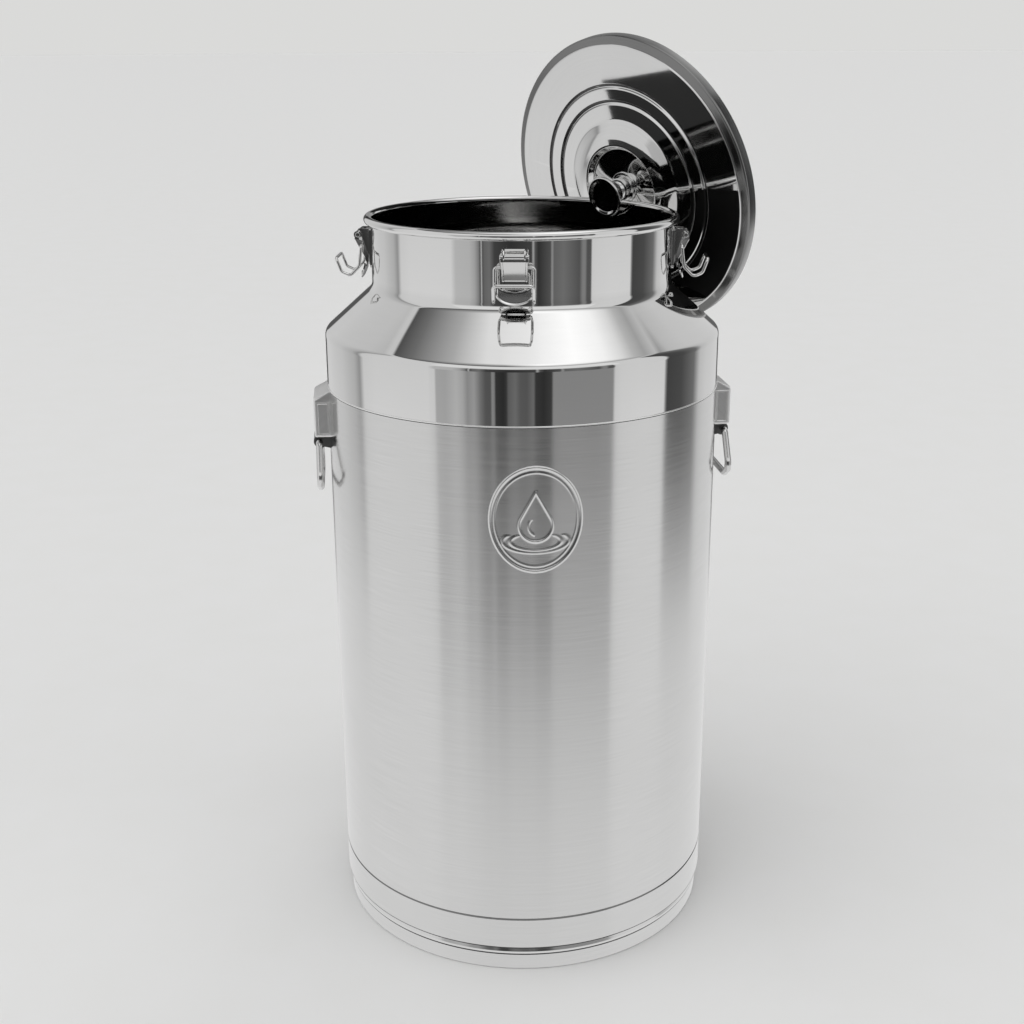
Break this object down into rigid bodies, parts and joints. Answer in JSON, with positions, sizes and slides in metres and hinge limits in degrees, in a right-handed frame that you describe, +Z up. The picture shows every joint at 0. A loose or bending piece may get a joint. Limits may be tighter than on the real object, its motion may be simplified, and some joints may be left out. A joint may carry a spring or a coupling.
{
  "type": "milk can",
  "caption": "Tall stainless steel milk can with a brushed body, polished shoulder and neck, toggle latches, drop-ring handles and a round lid hung on its rim.",
  "frame": {"origin": "centre of the foot ring, on the surface that the can stands on", "axes": "+Z up along the can's axis; -Y is the front, where the first latch is; +X is to the right seen from the front"},
  "size_m": [0.3662, 0.3662, 0.7343],
  "materials": {
    "brushed_sheet": "satin",
    "polished_shell": "polished",
    "polished_lid": "polished",
    "polished_knob": "polished",
    "handle_sheet": "satin",
    "handle_bar": "polished",
    "latch_sheet": "polished",
    "latch_wire": "polished",
    "hardware": "satin",
    "silicone": "matt"
  },
  "bodies": {
    "can": {"body_shell": "brushed_sheet", "seam_weld": "polished_shell", "shoulder_shell": "polished_shell", "neck_ring": "polished_shell", "bottom_pan": "brushed_sheet", "base_bead": "brushed_sheet", "foot_ring": "brushed_sheet", "handle_cover_left": "handle_sheet", "handle_keeper_left": "handle_sheet", "handle_cover_right": "handle_sheet", "handle_keeper_right": "handle_sheet", "latch_base_front": "latch_sheet", "latch_pin_front": "hardware", "latch_base_right": "latch_sheet", "latch_pin_right": "hardware", "latch_base_back": "latch_sheet", "latch_pin_back": "hardware", "latch_base_left": "latch_sheet", "latch_pin_left": "hardware"},
    "ring_left": {"handle_ring_left": "handle_bar"},
    "ring_right": {"handle_ring_right": "handle_bar"},
    "lever_front": {"latch_lever_front": "latch_sheet"},
    "bail_front": {"latch_bail_front": "latch_wire"},
    "lever_right": {"latch_lever_right": "latch_sheet"},
    "bail_right": {"latch_bail_right": "latch_wire"},
    "lever_back": {"latch_lever_back": "latch_sheet"},
    "bail_back": {"latch_bail_back": "latch_wire"},
    "lever_left": {"latch_lever_left": "latch_sheet"},
    "bail_left": {"latch_bail_left": "latch_wire"},
    "lid": {"lid_shell": "polished_lid", "lid_gasket": "silicone", "knob_boss": "polished_knob", "knob_stem": "polished_knob", "knob_disc": "polished_knob", "knob_washer": "hardware", "knob_nut": "hardware"}
  },
  "joints": [
    {"name": "ring_swing_left", "type": "hinge", "parent": "can", "child": "ring_left", "pos_m": [-0.16742, -0.01907, 0.4175], "axis": [-0.1132, 0.9936, 0], "range_deg": [0, 105]},
    {"name": "ring_swing_right", "type": "hinge", "parent": "can", "child": "ring_right", "pos_m": [0.16742, 0.01907, 0.4175], "axis": [0.1132, -0.9936, 0], "range_deg": [0, 105]},
    {"name": "lever_turn_front", "type": "hinge", "parent": "can", "child": "lever_front", "pos_m": [-0.00526, -0.13089, 0.5815], "axis": [-0.9992, 0.0401, 0], "range_deg": [0, 90]},
    {"name": "bail_swing_front", "type": "hinge", "parent": "lever_front", "child": "bail_front", "pos_m": [-0.00513, -0.1277, 0.5735], "axis": [-0.9992, 0.0401, 0], "range_deg": [0, 55]},
    {"name": "lever_turn_right", "type": "hinge", "parent": "can", "child": "lever_right", "pos_m": [0.13089, -0.00526, 0.5815], "axis": [-0.0401, -0.9992, 0], "range_deg": [0, 90]},
    {"name": "bail_swing_right", "type": "hinge", "parent": "lever_right", "child": "bail_right", "pos_m": [0.1277, -0.00513, 0.5735], "axis": [-0.0401, -0.9992, 0], "range_deg": [0, 55]},
    {"name": "lever_turn_back", "type": "hinge", "parent": "can", "child": "lever_back", "pos_m": [0.00526, 0.13089, 0.5815], "axis": [0.9992, -0.0401, 0], "range_deg": [0, 90]},
    {"name": "bail_swing_back", "type": "hinge", "parent": "lever_back", "child": "bail_back", "pos_m": [0.00513, 0.1277, 0.5735], "axis": [0.9992, -0.0401, 0], "range_deg": [0, 55]},
    {"name": "lever_turn_left", "type": "hinge", "parent": "can", "child": "lever_left", "pos_m": [-0.13089, 0.00526, 0.5815], "axis": [0.0401, 0.9992, 0], "range_deg": [0, 90]},
    {"name": "bail_swing_left", "type": "hinge", "parent": "lever_left", "child": "bail_left", "pos_m": [-0.1277, 0.00513, 0.5735], "axis": [0.0401, 0.9992, 0], "range_deg": [0, 55]},
    {"name": "lid_lift", "type": "slide", "parent": "can", "child": "lid", "axis": [0, 0, 1], "range_m": [0, 0.3]}
  ]
}
